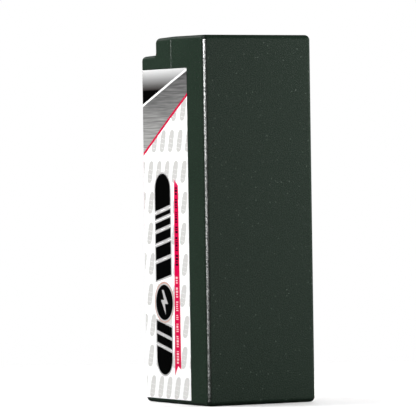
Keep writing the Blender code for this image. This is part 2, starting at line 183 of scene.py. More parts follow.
def turned(profile, steps=64):
    """A (radius, height) profile turned about Z, closed on itself unless it starts and ends on the axis."""
    shape = bmesh.new()
    points = [shape.verts.new((radius, 0, height)) for radius, height in profile]
    on_axis = profile[0][0] == profile[-1][0] == 0
    following = points[1:] if on_axis else points[1:] + points[:1]
    edges = [shape.edges.new((a, b)) for a, b in zip(points, following)]
    turn = {"cent": (0, 0, 0), "axis": (0, 0, 1), "angle": 2 * pi, "steps": steps, "use_merge": True}
    bmesh.ops.spin(shape, geom=points + edges, **turn)
    bmesh.ops.remove_doubles(shape, verts=shape.verts, dist=1e-4)
    bmesh.ops.dissolve_degenerate(shape, edges=shape.edges, dist=1e-4)
    return shape


def moved(shape, by):
    bmesh.ops.translate(shape, vec=Vector(by), verts=shape.verts)
    return shape


def sliced(shape, point, normal, dist, drop_outer=False):
    """Cuts the whole shape along a plane."""
    cut = {"plane_co": point, "plane_no": normal, "dist": dist, "clear_outer": drop_outer}
    bmesh.ops.bisect_plane(shape, geom=shape.verts[:] + shape.edges[:] + shape.faces[:], **cut)


def placed(name, data):
    """A new object of a mesh, light or camera, in the scene."""
    made = bpy.data.objects.new(name, data)
    bpy.context.scene.collection.objects.link(made)
    return made


def as_object(name, shape):
    bmesh.ops.recalc_face_normals(shape, faces=shape.faces)
    mesh = bpy.data.meshes.new(name)
    shape.to_mesh(mesh)
    shape.free()
    return placed(name, mesh)


def carved(shape, steps):
    """The shape after each (operation, other shape) in turn."""
    target = as_object("carved", shape)
    others = []
    for operation, other in steps:
        others.append(as_object("carver", other))
        step = target.modifiers.new(operation, "BOOLEAN")
        step.operation = operation
        step.solver = "EXACT"
        step.object = others[-1]
    depsgraph = bpy.context.evaluated_depsgraph_get()
    result = bmesh.new()
    result.from_mesh(target.evaluated_get(depsgraph).to_mesh())
    for made in [target, *others]:
        bpy.data.objects.remove(made)
    return result


def piece(name, shape, look, body, slot, *stands_for, degrees=32, weighted=False):
    """An object of the shape that rides on a body, in place of the CAD nodes it stands for."""
    bmesh.ops.scale(shape, vec=(MM, MM, MM), verts=shape.verts)
    made = as_object(name, shape)
    for one in look if isinstance(look, list) else [look]:
        made.data.materials.append(one)
    made.data.shade_smooth()
    made.data.set_sharp_from_angle(angle=radians(degrees))
    if weighted:
        step = made.modifiers.new("Weighted normals", "WEIGHTED_NORMAL")
        step.keep_sharp = True
        step.weight = 100
    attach(made, body)
    if stands_for:
        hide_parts(*stands_for)
    return made


# ---- materials


def srgb(*levels):
    """Linear colour of 0 to 255 display levels."""
    if len(levels) == 1:
        levels = levels * 3
    shares = [level / 255 for level in levels]
    return tuple(s / 12.92 if s <= 0.04045 else ((s + 0.055) / 1.055) ** 2.4 for s in shares) + (1.0,)


class Nodes:
    """Short calls for the nodes of a material or a world."""

    def __init__(self, tree, shader, space):
        self.tree = tree
        self.shader = tree.nodes[shader]
        self.where = self.node("TexCoord").outputs[space]

    def node(self, kind, feeds=(), **values):
        """A new node with these settings, and with {input: value or socket} fed to it."""
        made = self.tree.nodes.new("ShaderNode" + kind)
        for key, value in values.items():
            setattr(made, key, value)
        for place, value in dict(feeds).items():
            self.put(made.inputs[place], value)
        return made

    def put(self, socket, value):
        if isinstance(value, bpy.types.NodeSocket):
            self.tree.links.new(value, socket)
        else:
            socket.default_value = value

    def set(self, name, value):
        socket = next(s for s in self.shader.inputs if s.name.lower() == name.lower())
        self.put(socket, value)

    def math(self, operation, a, b=0.0, clamp=False):
        return self.node("Math", {0: a, 1: b}, operation=operation, use_clamp=clamp).outputs[0]

    def times(self, a, b):
        return self.math("MULTIPLY", a, b)

    def span(self, value, low, high, to_low=0.0, to_high=1.0):
        feeds = enumerate((value, low, high, to_low, to_high))
        return self.node("MapRange", feeds, clamp=True).outputs[0]

    def ramp(self, value, stops):
        """The value's colour on a ramp of {place: display levels}."""
        made = self.node("ValToRGB", {0: value})
        slots = made.color_ramp.elements
        while len(slots) < len(stops):
            slots.new(0.5)
        for slot, (place, levels) in zip(slots, stops.items()):
            slot.position = place
            slot.color = srgb(*levels)
        return made.outputs[0]

    def mix(self, share, a, b):
        return self.node("Mix", {0: share, 6: a, 7: b}, data_type="RGBA").outputs[2]


class Look(Nodes):
    """A Principled material, with patterns sized in millimetres."""

    def __init__(self, name, **values):
        self.mat = bpy.data.materials.new(name)
        self.mat.use_nodes = True
        super().__init__(self.mat.node_tree, "Principled BSDF", "Object")
        for key, value in values.items():
            self.set(key.replace("_", " "), value)

    def tint(self, pattern, low, high, first, second):
        """A base colour that goes between two, in display levels, as the pattern goes from low to high."""
        self.set("Base Color", self.mix(self.span(pattern, low, high), srgb(*first), srgb(*second)))

    def roughen(self, pattern, least, most):
        self.set("Roughness", self.span(pattern, 0.3, 0.7, least, most))

    def mm(self, axis):
        """Where the surface is along X, Y or Z, in millimetres."""
        return self.times(self.node("SeparateXYZ", {0: self.where}).outputs[axis], 1 / MM)

    def noise(self, size_mm, detail=2.0, rough=0.5, stretch=(1, 1, 1), twist=0.0):
        """Noise whose features are about size_mm across, longer along an axis whose stretch is below 1."""
        where = self.node("Mapping", {"Vector": self.where, "Scale": stretch}).outputs["Vector"]
        feeds = {"Vector": where, "Scale": 1000 / size_mm, "Detail": detail}
        feeds |= {"Roughness": rough, "Distortion": twist}
        return self.node("TexNoise", feeds).outputs["Fac"]

    def cells(self, size_mm, output="Distance"):
        return self.node("TexVoronoi", {"Vector": self.where, "Scale": 1000 / size_mm}).outputs[output]

    def bump(self, height, distance_mm, strength, under=None):
        feeds = {"Strength": strength, "Distance": distance_mm * MM, "Height": height}
        if under is not None:
            feeds["Normal"] = under
        return self.node("Bump", feeds).outputs["Normal"]

    def bumped(self, *bump):
        """The finished material, with this bump over its surface."""
        self.set("Normal", self.bump(*bump))
        return self.mat


def case_look():
    """Dark green-grey moulded plastic.

    The belly has a coarse spark-eroded grain, with painted glints: bright specks in its colour. Everything
    else is satin.
    """
    look = Look("case_plastic")
    belly = look.span(look.mm("Y"), GRAIN_TO - GRAIN_FADE, GRAIN_TO, 1.0, 0.0)
    grain = look.noise(0.36, detail=3.0, rough=0.65)
    cloud = look.noise(18.0)
    base = look.mix(look.span(cloud, 0.3, 0.7), srgb(29, 43, 33), srgb(32, 46, 36))
    shade = look.times(look.span(grain, 0.3, 0.7), look.span(belly, 0.0, 1.0, 0.3, 1.0))
    base = look.mix(shade, base, srgb(46, 59, 50))

    # Painted glints: a few bright specks mixed into the belly's colour as the sparkle of its grain, with
    # lower roughness.
    painted_glint_size = 0.85
    pick = look.node("SeparateColor", {0: look.cells(painted_glint_size, "Color")})
    chosen = look.math("GREATER_THAN", pick.outputs[0], 0.945)
    near = look.math("LESS_THAN", look.cells(painted_glint_size), 0.25)
    painted_glint = look.times(look.times(chosen, near), belly)
    look.set("Base Color", look.mix(look.times(painted_glint, 0.42), base, srgb(150, 165, 152)))

    smooth, coarse = look.span(grain, 0.3, 0.7, 0.14, 0.24), look.span(grain, 0.3, 0.75, 0.22, 0.34)
    rough = look.mix(belly, smooth, coarse)
    look.set("Roughness", look.math("SUBTRACT", rough, look.times(painted_glint, 0.1), clamp=True))
    glint = look.span(look.noise(0.3, detail=0.0), 0.38, 0.62, 0.05, 0.95)
    look.set("Specular IOR Level", look.mix(belly, glint, (0.5, 0.5, 0.5, 1.0)))
    pits = look.times(look.cells(0.5), 0.7)
    depth = look.span(belly, 0.0, 1.0, 0.12, 1.0)
    return look.bumped(look.times(look.math("ADD", grain, pits), depth), 0.08, 0.9)


def film_look(name, levels, rough=0.3, grain=0.09):
    """Printed ink under a clear laminate that isn't quite flat."""
    look = Look(name, coat_weight=0.02, coat_roughness=0.18, specular_ior_level=0.06)
    speck = look.noise(0.5)
    colour = srgb(*levels)
    dull = tuple(share * (1 - grain) for share in colour[:3]) + (1.0,)
    look.set("Base Color", look.mix(look.span(speck, 0.3, 0.7), dull, colour))
    look.roughen(look.noise(9.0), rough, rough + 0.08)
    soft = look.bump(look.noise(14.0, detail=1.0), 0.05, 0.35)
    look.set("Normal", look.bump(speck, 0.006, 0.4, soft))
    return look


def metal_print():
    """A printed picture of brushed metal, darker towards the top of the belly edge."""
    look = film_look("label_brushed_print", (120,))
    tone = look.span(look.mm("Z"), 94.0, 123.0, 0.07, -0.44)
    for size, detail, rough, stretch, share in (
        (0.8, 3.0, 0.65, 0.03, 0.68),
        (0.4, 1.0, 0.5, 0.04, 0.44),
        (2.6, 2.0, 0.5, 0.05, 0.14),
    ):
        streak = look.noise(size, detail, rough, (stretch, stretch, 1.0))
        tone = look.math("ADD", tone, look.times(streak, share))
    stops = {0.0: (58,), 0.25: (94,), 0.5: (129, 129, 128), 0.75: (165, 165, 163), 1.0: (200,)}
    look.set("Base Color", look.ramp(tone, stops))
    return look.mat


def fade_print():
    """Black that turns through grey to near white towards the label's top edge."""
    look = film_look("label_fade_print", (60,))
    stops = {0.0: (1,), 0.07: (3,), 0.13: (53, 50, 49), 0.31: (95, 94, 93), 0.54: (140,), 0.78: (180,)}
    stops[1.0] = (212,)
    look.set("Base Color", look.ramp(look.span(look.mm("Z"), 117.4, LABEL_HIGH), stops))
    return look.mat


def mark_print():
    """Pale grey, a little lighter towards the foot and towards the belly."""
    dark, light = (190, 189, 187), (213, 212, 210)
    look = film_look("label_mark_print", dark)
    low = look.span(look.mm("Z"), 0.0, LABEL_HIGH, 0.84, 0.02)
    near = look.span(look.mm("Y"), -13.0, 23.0, 0.15, -0.265)
    look.tint(look.math("ADD", low, near), 0.0, 1.0, dark, light)
    return look.mat


def ribbon_print():
    """Crimson that pales at the ribbon's upper tip."""
    look = film_look("label_crimson_print", (210, 0, 70))
    stops = {0.0: (210, 0, 70), 0.5: (213, 24, 84), 1.0: (232, 140, 160)}
    look.set("Base Color", look.ramp(look.span(look.mm("Z"), 80.0, 85.0), stops))
    return look.mat


def pouch_look():
    """Laminated foil: satin silver nylon over aluminium, faintly wrinkled."""
    look = Look("pouch_foil", metallic=0.85, coat_weight=0.35, coat_roughness=0.3)
    look.tint(look.noise(11.0, detail=3.0), 0.3, 0.7, (158, 161, 165), (186, 188, 191))
    look.roughen(look.noise(3.0, detail=3.0), 0.3, 0.46)
    wrinkle = look.noise(4.5, detail=4.0, rough=0.6, twist=0.6)
    weave = look.noise(0.5, detail=1.0)
    return look.bumped(weave, 0.02, 0.3, look.bump(wrinkle, 0.25, 0.35))


def metal_look(name, light, dark, rough=0.3, size=1.5, stretch=(0.15, 1, 1), scratch=0.02):
    """Metal with faint stains, and fine scratches along the way that it was drawn."""
    look = Look(name, metallic=1.0)
    look.tint(look.noise(size * 4, detail=3.0), 0.35, 0.7, light, dark)
    drawn = look.noise(size * 0.2, detail=3.0, rough=0.7, stretch=stretch)
    look.roughen(drawn, rough - 0.08, rough + 0.12)
    return look.bumped(drawn, scratch, 0.5)


def plastic_look(name, light, dark, rough):
    """Moulded plastic with a fine grain."""
    look = Look(name)
    look.tint(look.noise(6.0), 0.3, 0.7, light, dark)
    grain = look.noise(0.5, detail=3.0, rough=0.6)
    look.roughen(grain, rough - 0.06, rough + 0.1)
    return look.bumped(grain, 0.02, 0.5)


def foam_look():
    """Closed-cell foam: pores of mixed sizes in a dark, dusty skin."""
    look = Look("foam", roughness=0.95, sheen_weight=0.15)
    big, small = look.cells(0.8), look.cells(0.33)
    pore = look.times(look.span(big, 0.1, 0.5), look.span(small, 0.05, 0.5, 0.45, 1.0))
    look.tint(pore, 0.0, 1.0, (18, 18, 20), (66, 66, 70))
    return look.bumped(pore, 0.18, 0.8)


def board_look():
    """Green solder mask over glass weave, with the darker lines of the tracks that run under it."""
    look = Look("board_laminate", coat_weight=0.4, coat_roughness=0.15)
    warp, weft = look.noise(0.5, stretch=(0.2, 1, 1)), look.noise(0.5, stretch=(1, 0.2, 1))
    weave = look.times(warp, weft)
    base = look.mix(look.span(weave, 0.15, 0.4), srgb(16, 74, 40), srgb(24, 98, 52))
    across = look.math("FRACT", look.times(look.mm("X"), 1 / 2.9))
    track = look.math("GREATER_THAN", across, 0.62)
    look.set("Base Color", look.mix(look.times(track, 0.55), base, srgb(38, 122, 66)))
    look.set("Roughness", look.span(weave, 0.1, 0.4, 0.28, 0.42))
    return look.bumped(track, 0.035, 0.6, look.bump(weave, 0.02, 0.4))


def tape_look():
    """Amber polyimide film, glossy, with the pale blotches of trapped air under it."""
    look = Look("polyimide_tape", metallic=0.25, coat_weight=0.8, coat_roughness=0.06)
    air = look.noise(2.2, detail=3.0, twist=0.5)
    look.tint(air, 0.52, 0.68, (196, 118, 28), (226, 168, 78))
    look.set("Roughness", look.span(air, 0.4, 0.7, 0.16, 0.3))
    ripple = look.noise(5.0, stretch=(1, 1, 0.4))
    return look.bumped(ripple, 0.15, 0.4)


def paper_look(name, light, dark, size=0.7):
    look = Look(name, roughness=0.85)
    fibre = look.noise(size, detail=4.0, rough=0.7, stretch=(1, 1, 0.3))
    look.tint(fibre, 0.35, 0.65, light, dark)
    return look.bumped(fibre, 0.04, 0.6)


CASE = case_look()
PRINT = {
    "white": film_look("label_white_film", (247,), grain=0.012).mat,
    "mark": mark_print(),
    "fade": fade_print(),
    "metal": metal_print(),
    "crimson": film_look("label_crimson_line", (200, 0, 62)).mat,
    "ribbon": ribbon_print(),
    "pink": film_look("label_pink_print", (238, 196, 200)).mat,
    "keyline": film_look("label_grey_print", (182, 181, 181)).mat,
    "black": film_look("label_black_print", (1,), 0.26).mat,
    "ring": film_look("label_salmon_print", (214, 149, 122)).mat,
    "ink": film_look("label_dark_ink", (50, 3, 20)).mat,
}
PRINT_ORDER = list(PRINT)
FOIL = pouch_look()
GOLD = metal_look("socket_gold", (246, 206, 118), (226, 178, 88), 0.2, 1.0, (1, 1, 0.2), 0.01)
COPPER = metal_look("bar_copper", (222, 150, 112), (176, 104, 76), 0.3)
ALUMINIUM = metal_look("tab_aluminium", (214, 215, 217), (188, 189, 192), 0.3)
NICKEL = metal_look("tab_nickel", (204, 198, 186), (170, 164, 152), 0.28)
TIN = metal_look("pin_tin", (216, 216, 212), (186, 186, 180), 0.24, 0.6, (1, 1, 0.15))
RED = plastic_look("collar_red", (196, 22, 20), (168, 14, 14), 0.36)
BLACK = plastic_look("collar_black", (34, 34, 35), (24, 24, 25), 0.38)
NYLON = plastic_look("header_nylon", (240, 236, 222), (226, 220, 202), 0.42)
FOAM = foam_look()
BOARD = board_look()
TAPE = tape_look()
FISH_PAPER = paper_look("fish_paper", (84, 118, 98), (62, 92, 76))
ADHESIVE = paper_look("adhesive_sheet", (232, 230, 218), (208, 204, 188), 1.4)


# ---- the case


def drafted(shape):
    """Tapers the case towards its belly and top, as its mould does, so that it is widest at the seam."""
    for vert in shape.verts:
        x, y, z = vert.co
        drop = (END_DRAFT_TOP if y > 0 else END_DRAFT_BELLY) * abs(y)
        share = min(1.0, max(0.0, (z - END_DRAFT_FROM) / (LEDGE_Z - END_DRAFT_FROM)))
        vert.co = (x * (1 - SIDE_DRAFT * abs(y) / (WIDTH / 2)), y, z - drop * share)
    return shape


def case_profile():
    """The case from its side, as (point, outward normal) pairs in Y and Z, with every corner rounded."""
    r, belly, top = OUTLINE_RADIUS, -DEPTH / 2, DEPTH / 2
    corners = (
        ((belly + r, r), r, 180, 270),
        ((top - r, r), r, 270, 360),
        ((top - r, LEDGE_Z - r), r, 0, 90),
        ((STEP_Y + STEP_RADIUS, LEDGE_Z + STEP_RADIUS), STEP_RADIUS, 270, 180),
        ((STEP_Y - r, LENGTH - r), r, 0, 90),
        ((belly + r, LENGTH - r), r, 90, 180),
    )
    profile = []
    for centre, radius, start, end in corners:
        sign = 1 if end > start else -1
        for i in range(ROUND_STEPS + 1):
            angle = radians(start + (end - start) * i / ROUND_STEPS)
            out = Vector((cos(angle), sin(angle)))
            profile.append((Vector(centre) + out * radius, out * sign))
    return profile


def case_half(side):
    """One side of the whole case's outside, closed across the seam, whose outer edge is chamfered."""
    shape = bmesh.new()
    rings, profile = [], case_profile()
    for end, angle in end_turns(ROUND_STEPS):
        x = end * (WIDTH / 2 - EDGE_RADIUS + EDGE_RADIUS * sin(angle))
        inset = EDGE_RADIUS * (1 - cos(angle))
        rings.append([(x, *(point - out * inset)) for point, out in profile])
    skin(shape, rings)
    bmesh.ops.recalc_face_normals(shape, faces=shape.faces)
    cut_y = side * SEAM
    sliced(shape, (0, cut_y, 0), (0, -side, 0), 1e-6, drop_outer=True)
    rim = [e for e in shape.edges if e.is_boundary]
    bmesh.ops.holes_fill(shape, edges=rim, sides=0)
    rim = [e for e in shape.edges if all(abs(v.co.y - cut_y) < 1e-4 for v in e.verts)]
    bmesh.ops.bevel(shape, geom=rim, offset=SEAM_CHAMFER, segments=1, affect="EDGES", clamp_overlap=True)
    return shape


def cavity():
    belly, top = -DEPTH / 2 + WALL, DEPTH / 2 - WALL
    step = STEP_Y - WALL
    outline = [(belly, WALL), (top, WALL), (top, LEDGE_Z - WALL), (step, LEDGE_Z - WALL)]
    outline += [(step, LENGTH - WALL), (belly, LENGTH - WALL)]
    shape = prism(bmesh.new(), outline, "X", -WIDTH / 2 + WALL, WIDTH / 2 - WALL)
    rounding = {"offset": 0.8, "segments": 3, "profile": 0.5, "affect": "EDGES", "clamp_overlap": True}
    bmesh.ops.bevel(shape, geom=shape.edges[:], **rounding)
    return shape


def seam_block(inset, low_y, high_y):
    outline = rounded_rectangle((-WIDTH / 2 + inset, inset), (WIDTH / 2 - inset, LENGTH - inset), EDGE_RADIUS)
    return prism(bmesh.new(), outline, "Y", low_y, high_y)


def label_path(offset, low_y):
    """The case's outline from side to side over the top, as (X, Y) points, moved out by offset."""
    side, radius = WIDTH / 2 + offset, EDGE_RADIUS + offset
    left = arc((-FLAT_HALF, SIDE_TOP_Y), radius, 180, 90, ROUND_STEPS)
    right = arc((FLAT_HALF, SIDE_TOP_Y), radius, 90, 0, ROUND_STEPS)
    return [(-side, low_y), *left, *right, (side, low_y)]


def label_recess():
    low_y, far = LABEL_EDGE_Y - RECESS_MARGIN, WIDTH
    outline = label_path(-RECESS, low_y) + [(far, low_y), (far, far), (-far, far), (-far, low_y)]
    return prism(bmesh.new(), outline, "Z", LABEL_LOW - RECESS_MARGIN, LABEL_HIGH + RECESS_MARGIN)


def belly_ribs():
    """Cross ribs on the floor of the belly shell clear of the foam, and short ribs up its side walls."""
    shape = bmesh.new()
    floor, half, sunk = -DEPTH / 2 + WALL, 0.5, 0.6
    for z in (5.0, 18.6, 98.0, 111.0, 116.0, 121.0, 127.0, 131.5):
        block(shape, (-17.5, floor - sunk, z - half), (17.5, floor + 0.9, z + half))
    for side in (-1, 1):
        inner = side * (WIDTH / 2 - WALL)
        low_x, high_x = sorted((inner + side * sunk, inner - side * 0.7))
        for z in (20.0, 40.0, 60.0, 80.0, 113.0):
            block(shape, (low_x, floor + 1.2, z - half), (high_x, -1.6, z + half))
    return shape


def ejector_marks():
    """Shallow discs that the mould's pins leave on the floor of the belly shell, and its gate mark."""
    shape = bmesh.new()
    floor = -DEPTH / 2 + WALL
    spots = [(side * 13, z) for z in (8.6, 13.4, 124.0) for side in (-1, 1)] + [(0, 124.0), (0, 113.5)]
    for spot in spots:
        prism(shape, circle(spot, 1.5, 24), "Y", floor - 0.15, floor + 0.3)
    prism(shape, circle((0, -8.0), 1.1, 24), "Z", -1.0, 0.12)
    return shape


def port_cutter():
    """The ledge's openings for the two collars and the balance header."""
    shape = bmesh.new()
    low, high = LEDGE_Z - 2 * WALL, LEDGE_Z + 5
    for side in (-1, 1):
        prism(shape, circle((side * SOCKET_X, PORT_Y), COLLAR_RADIUS + 0.12), "Z", low, high)
    half_x, half_y = 7.6, 3.02
    outline = rounded_rectangle((-half_x, PORT_Y - half_y), (half_x, PORT_Y + half_y), 0.5, 4)
    prism(shape, outline, "Z", low, high)
    return shape


def polarity_signs():
    """A raised plus and minus on the wall of the step, over their sockets."""
    shape = bmesh.new()
    z = (LEDGE_Z + LENGTH - EDGE_RADIUS) / 2 + 0.5
    arm, half = 1.7, 0.36
    minus = [(-arm, -half), (arm, -half), (arm, half), (-arm, half)]
    below = [(-arm, -half), (-half, -half), (-half, -arm), (half, -arm), (half, -half), (arm, -half)]
    plus = below + [(-p, -q) for p, q in below]
    for x, sign in ((-SOCKET_X, plus), (SOCKET_X, minus)):
        prism(shape, [(x + p, z + q) for p, q in sign], "Y", STEP_Y - 0.4, STEP_Y + 0.22)
    return shape


def make_shells():
    lower = [
        ("UNION", seam_block(TONGUE_INSET, -5, 1.5)),
        ("DIFFERENCE", cavity()),
        ("UNION", belly_ribs()),
        ("DIFFERENCE", ejector_marks()),
        ("DIFFERENCE", label_recess()),
    ]
    upper = [
        ("DIFFERENCE", seam_block(TONGUE_INSET - 0.3, -5, 1.8)),
        ("DIFFERENCE", cavity()),
        ("DIFFERENCE", label_recess()),
        ("DIFFERENCE", port_cutter()),
        ("UNION", polarity_signs()),
    ]
    for node, side, body, steps in (("belly_shell", -1, "belly", lower), ("top_shell", 1, "pack", upper)):
        shape = drafted(carved(case_half(side), steps))
        piece(f"{node}_case", shape, CASE, body, "case", node, weighted=True)


# ---- the label


def wrapped(s, z, depth):
    """A place on the label, s along it from the middle of the top and z up it, below its printed face."""
    side = 1 if s > 0 else -1
    along = abs(s)
    out = FILM_PROUD - depth
    if along <= FLAT_HALF:
        x, y = along, DEPTH / 2 + out
    elif along <= FLAT_HALF + ARC_LONG:
        angle = (along - FLAT_HALF) / EDGE_RADIUS
        x = FLAT_HALF + (EDGE_RADIUS + out) * sin(angle)
        y = SIDE_TOP_Y + (EDGE_RADIUS + out) * cos(angle)
    else:
        x, y = WIDTH / 2 + out, FOLD - along
    return Vector((side * x, y, z))


def across_label(line, shift=0.0):
    """A line from past one edge of the label to past the other, lowest at the middle of the top."""
    height, fall = line
    far = LABEL_REACH + 1
    return [(s, height + shift - fall * (LABEL_REACH - abs(s))) for s in (-far, 0, far)]


def mark_shape(s, z):
    """One of the background's slanted stacks of short strokes, wider below than above."""
    steps, half_height = 24, 4.15
    right, left = [], []
    for share in [i / steps for i in range(steps + 1)]:
        up = half_height * (2 * share - 1)
        lobes = 0.22 * abs(sin(5 * pi * share))
        half = (1.8 + lobes - 0.16 * share) * max(0.2, 1 - abs(up / 4.5) ** 6)
        middle = s - MARK_LEAN * up
        right.append((middle + half, z + up))
        left.append((middle - half, z + up))
    return right + left[::-1]


def mark_slits(s, z):
    """The thin gaps between a mark's strokes."""
    half, tilt, thick = 1.1, 0.45, 0.1
    slits = []
    for up in (-2.6, -0.85, 0.9):
        low, high = s - MARK_LEAN * up - half, s - MARK_LEAN * up + half
        base = z + up - 0.33
        slits.append([(low, base), (high, base + tilt), (high, base + tilt + thick), (low, base + thick)])
    return slits


def bolt(centre, size, facing=1):
    """A plain lightning stroke."""
    points = [(0.12, 1.0), (-0.62, -0.12), (-0.08, -0.12), (-0.22, -1.0)]
    points += [(0.6, 0.2), (0.06, 0.2), (0.42, 1.0)]
    return [(centre[0] + facing * size * p, centre[1] + size * q) for p, q in points]


def slanted_bars(y0, y1, heights, middle_z, slant, grow):
    """Bars with slanted ends, which rise towards y1 below middle_z and fall above it."""
    made = []
    for z0, z1 in heights:
        low, high = z0 - grow, z1 + grow
        rise = slant if z0 < middle_z else -slant
        made.append([(y0 - grow, low), (y1 + grow, low + rise), (y1 + grow, high + rise), (y0 - grow, high)])
    return made


def end_cap(y0, y1, z_flat, rise, z_tip, grow):
    """The last of a row of bars, slanted at z_flat and rounded at z_tip."""
    way = 1 if z_tip > z_flat else -1
    radius = (y1 - y0) / 2 + grow
    centre = ((y0 + y1) / 2, z_tip + way * (grow - radius))
    flat = z_flat - way * grow
    return [(y0 - grow, flat), (y1 + grow, flat + rise), *arc(centre, radius, 0, way * 180, 14)]


def ticks(y, half, low, high, seed):
    """A line of greeked writing: short strokes in groups, with no letters in it."""
    pick = random.Random(seed)
    strokes = []
    z = low
    while z < high - 1.2:
        for _ in range(pick.randint(3, 6)):
            long = pick.choice((0.35, 0.5, 0.8))
            if z + long > high:
                break
            near, far = y - half * pick.choice((1.0, 0.7)), y + half
            strokes.append([(near, z), (far, z), (far, z + long), (near, z + long)])
            z += long + 0.38
        z += 1.1
    return strokes


def discs(centre, radii, steps):
    return [(ink, circle(centre, radius, steps)) for ink, radius in radii]


def side_art(side):
    """The artwork of one side, laid out by its height Y on the case and Z."""
    low_y, high_y, slant = 2.3, 14.3, 2.6
    emblem = (8.0, 38.0)
    bars = ((20.4, 23.6), (24.9, 28.6), (48.6, 54.9), (56.4, 61.2), (62.7, 66.2), (67.7, 70.2), (71.7, 73.3))
    art = []
    for ink, grow in (("keyline", 0.62), ("black", 0.0)):
        art += [(ink, bar) for bar in slanted_bars(low_y, high_y, bars, emblem[1], slant, grow)]
        art.append((ink, end_cap(low_y, high_y, 19.0, slant, 10.7, grow)))
        art.append((ink, end_cap(low_y, high_y, 74.9, -slant, 86.6, grow)))
    art += discs(emblem, (("keyline", 7.85), ("ring", 7.6), ("keyline", 7.3), ("black", 6.65)), 56)
    art.append(("keyline", bolt(emblem, 4.7, -side)))
    art.append(("ribbon", [(-0.95, 84.4), (-3.9, 82.0), (-4.4, 13.1), (-2.1, 14.3), (0.35, 10.6)]))
    art += [("ink", stroke) for stroke in ticks(-2.3, 0.95, 52.0, 81.5, 3)]
    art += [("pink", stroke) for stroke in ticks(-2.0, 0.8, 15.2, 50.0, 5)]
    return [(ink, [(side * (FOLD - y), z) for y, z in outline]) for ink, outline in art]


def top_art():
    """The artwork of the top: the same bars and emblem at a larger size, between two ribbons."""
    emblem = (0.0, 46.0)
    bars = ((17.5, 20.5), (22.4, 26.6), (63.2, 68.6), (70.4, 73.4))
    art = []
    for ink, grow in (("keyline", 0.7), ("black", 0.0)):
        art += [(ink, bar) for bar in slanted_bars(-9.5, 9.5, bars, emblem[1], 3.4, grow)]
    art += discs(emblem, (("keyline", 12.4), ("black", 11.6), ("ring", 11.2), ("black", 10.75)), 72)
    art.append(("keyline", bolt(emblem, 7.4)))
    for side in (-1, 1):
        ribbon = [(13.6, 76.0), (18.6, 73.4), (18.6, 12.4), (16.1, 14.6), (13.6, 12.4)]
        art.append(("ribbon", [(side * s, z) for s, z in ribbon]))
        art += [("white", stroke) for stroke in ticks(side * 16.1, 0.85, 17.5, 70.0, 11 + side)]
    art.append(("black", rounded_rectangle((-10, 5.2), (10, 13.2), 1.2, 4)))
    for row in range(3):
        z = 7.0 + 1.9 * row
        strokes = ticks(0.0, 0.45, -8.4, 8.4 - 2.2 * row, 31 + row)
        art += [("keyline", [(q, z + p) for p, q in stroke]) for stroke in strokes]
    return art


def label_art():
    """Every printed area as (ink, outline), each over the ones before it."""
    art = []
    for row, start in enumerate(MARK_STARTS):
        z = FIRST_MARK_Z + MARK_ROW_PITCH * row
        for column in range(-3, 18):
            s = start - FOLD + MARK_PITCH * column
            art.append(("mark", mark_shape(s, z)))
            art += [("white", slit) for slit in mark_slits(s, z)]
    for side in (-1, 1):
        near, far = (side * (FOLD - SIDE_TOP_Y - inset) for inset in (0.42, 0.66))
        art.append(("pink", [(near, 66.0), (far, 66.0), (far, 94.5), (near, 94.5)]))
    over = [(s, LABEL_HIGH + 1) for s in (LABEL_REACH + 1, -LABEL_REACH - 1)]
    upper, lower = (across_label(CRIMSON_LINE, shift) for shift in (CRIMSON_HALF, -CRIMSON_HALF))
    art.append(("metal", across_label(CRIMSON_LINE) + over))
    art.append(("crimson", upper + lower[::-1]))
    art.append(("white", across_label(WHITE_LINE) + over))
    art.append(("fade", across_label(FADE_LINE) + over))
    return art + side_art(-1) + side_art(1) + top_art()


def turn_left(outline):
    """The outline, turned to run anticlockwise."""
    area = sum(a[0] * b[1] - b[0] * a[1] for a, b in zip(outline, outline[1:] + outline[:1]))
    return outline if area > 0 else outline[::-1]


def strip_outline(side):
    """A strip of label on the belly shell: square at the seam, with its outer corners rounded."""
    centre_s, radius = LABEL_REACH - LABEL_CORNER, LABEL_CORNER
    outline = [(FOLD + SLIT, LABEL_LOW), *arc((centre_s, LABEL_LOW + radius), radius, 270, 360, 4)]
    outline += [*arc((centre_s, LABEL_HIGH - radius), radius, 0, 90, 4), (FOLD + SLIT, LABEL_HIGH)]
    return [(side * s, z) for s, z in outline]


def label_sheets():
    """Splits the label into triangles along its artwork, bends and slits, and sorts them by piece."""
    wrap_end = FOLD - SLIT
    wrap = rounded_rectangle((-wrap_end, LABEL_LOW), (wrap_end, LABEL_HIGH), 0.01, 1)
    bases = [wrap, strip_outline(-1), strip_outline(1)]
    art = label_art()
    points, faces, edges = [], [], []
    for outline in bases + [outline for _, outline in art]:
        faces.append(list(range(len(points), len(points) + len(outline))))
        points += [Vector(p) for p in turn_left(outline)]
    bends = [FLAT_HALF + ARC_LONG * i / ROUND_STEPS for i in range(ROUND_STEPS + 1)]
    bends += [FLAT_HALF - 0.35, FLAT_HALF + ARC_LONG + 0.35]
    for s in bends:
        for side in (-1, 1):
            edges.append((len(points), len(points) + 1))
            points += [Vector((side * s, LABEL_LOW - 1)), Vector((side * s, LABEL_HIGH + 1))]
    verts, _, triangles, _, _, origins = geometry.delaunay_2d_cdt(points, edges, faces, 1, 1e-5, True)
    sheets = [[] for _ in bases]
    for triangle, origin in zip(triangles, origins):
        home = [i for i in origin if i < len(bases)]
        if not home:
            continue
        top = max(origin) - len(bases)
        ink = "white" if top < 0 else art[top][0]
        sheets[home[0]].append((triangle, PRINT_ORDER.index(ink)))
    return verts, sheets


